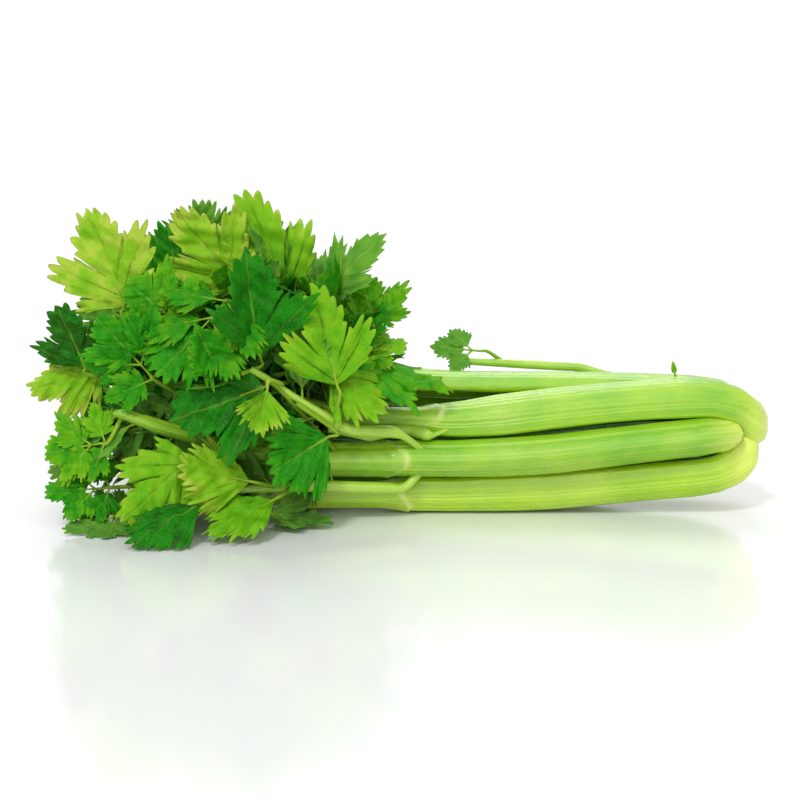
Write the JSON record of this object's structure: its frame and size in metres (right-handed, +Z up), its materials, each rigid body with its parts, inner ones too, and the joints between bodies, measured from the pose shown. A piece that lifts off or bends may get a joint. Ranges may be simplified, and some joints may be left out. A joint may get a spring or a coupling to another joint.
{
  "type": "celery head",
  "caption": "Whole head of green celery lying on its side, ribbed curved stalks joined at a cut butt and a loose mass of toothed leaves.",
  "frame": {"origin": "centre of the bounding box's foot, on the surface the head lies on", "axes": "+X along the head towards the cut butt, +Z up, -Y towards the side with the most leaves showing"},
  "size_m": [0.3948, 0.1858, 0.1726],
  "materials": {
    "crown_flesh": "matte",
    "stalk_flesh": "wet gloss",
    "inner_flesh": "satin",
    "stem_flesh": "satin",
    "leaf_green": "satin",
    "leaf_pale": "matte"
  },
  "bodies": {
    "root": {"crown": "crown_flesh", "heart_stalk": "inner_flesh", "inner_stalk_back": "inner_flesh", "inner_stalk_bottom": "inner_flesh", "inner_stalk_front": "inner_flesh", "inner_stalk_top": "inner_flesh", "leaf_back_centre": "leaf_pale", "leaf_back_drape": "leaf_green", "leaf_back_far_left": "leaf_pale", "leaf_back_floor": "leaf_green", "leaf_back_frond": "leaf_green", "leaf_back_high": "leaf_pale", "leaf_back_left": "leaf_green", "leaf_back_low": "leaf_green", "leaf_back_middle": "leaf_green", "leaf_back_right": "leaf_green", "leaf_back_top": "leaf_green", "leaf_bottom_left": "leaf_pale", "leaf_bright_small": "leaf_pale", "leaf_centre_dark": "leaf_green", "leaf_centre_olive": "leaf_green", "leaf_dark_folded": "leaf_green", "leaf_end_back": "leaf_green", "leaf_end_low": "leaf_green", "leaf_end_middle": "leaf_green", "leaf_far_left_dark": "leaf_green", "leaf_far_left_pale": "leaf_pale", "leaf_floor_left": "leaf_pale", "leaf_floor_right": "leaf_green", "leaf_floor_tip": "leaf_green", "leaf_fork_veined": "leaf_green", "leaf_front_high": "leaf_green", "leaf_front_pale": "leaf_pale", "leaf_left_low": "leaf_green", "leaf_left_low_side": "leaf_pale", "leaf_left_middle": "leaf_green", "leaf_left_upper": "leaf_green", "leaf_low_fan": "leaf_pale", "leaf_low_pale": "leaf_pale", "leaf_right_cluster": "leaf_green", "leaf_right_drape": "leaf_green", "leaf_right_droop": "leaf_pale", "leaf_right_upper": "leaf_green", "leaf_top_back_left": "leaf_pale", "leaf_top_left": "leaf_pale", "leaf_top_tall": "leaf_pale", "leaf_top_yellow": "leaf_pale", "leaf_upper_middle": "leaf_green", "leaf_young_tip": "leaf_green", "stalk_lower_back": "stalk_flesh", "stalk_lower_front": "stalk_flesh", "stalk_middle_back": "stalk_flesh", "stalk_middle_front": "stalk_flesh", "stalk_upper_back": "stalk_flesh", "stalk_upper_front": "stalk_flesh", "stem_back_riser": "stem_flesh", "stem_front_branch": "stem_flesh", "stem_low_branch": "stem_flesh", "stem_right_riser": "stem_flesh", "stem_under_branch": "stem_flesh"}
  },
  "joints": []
}
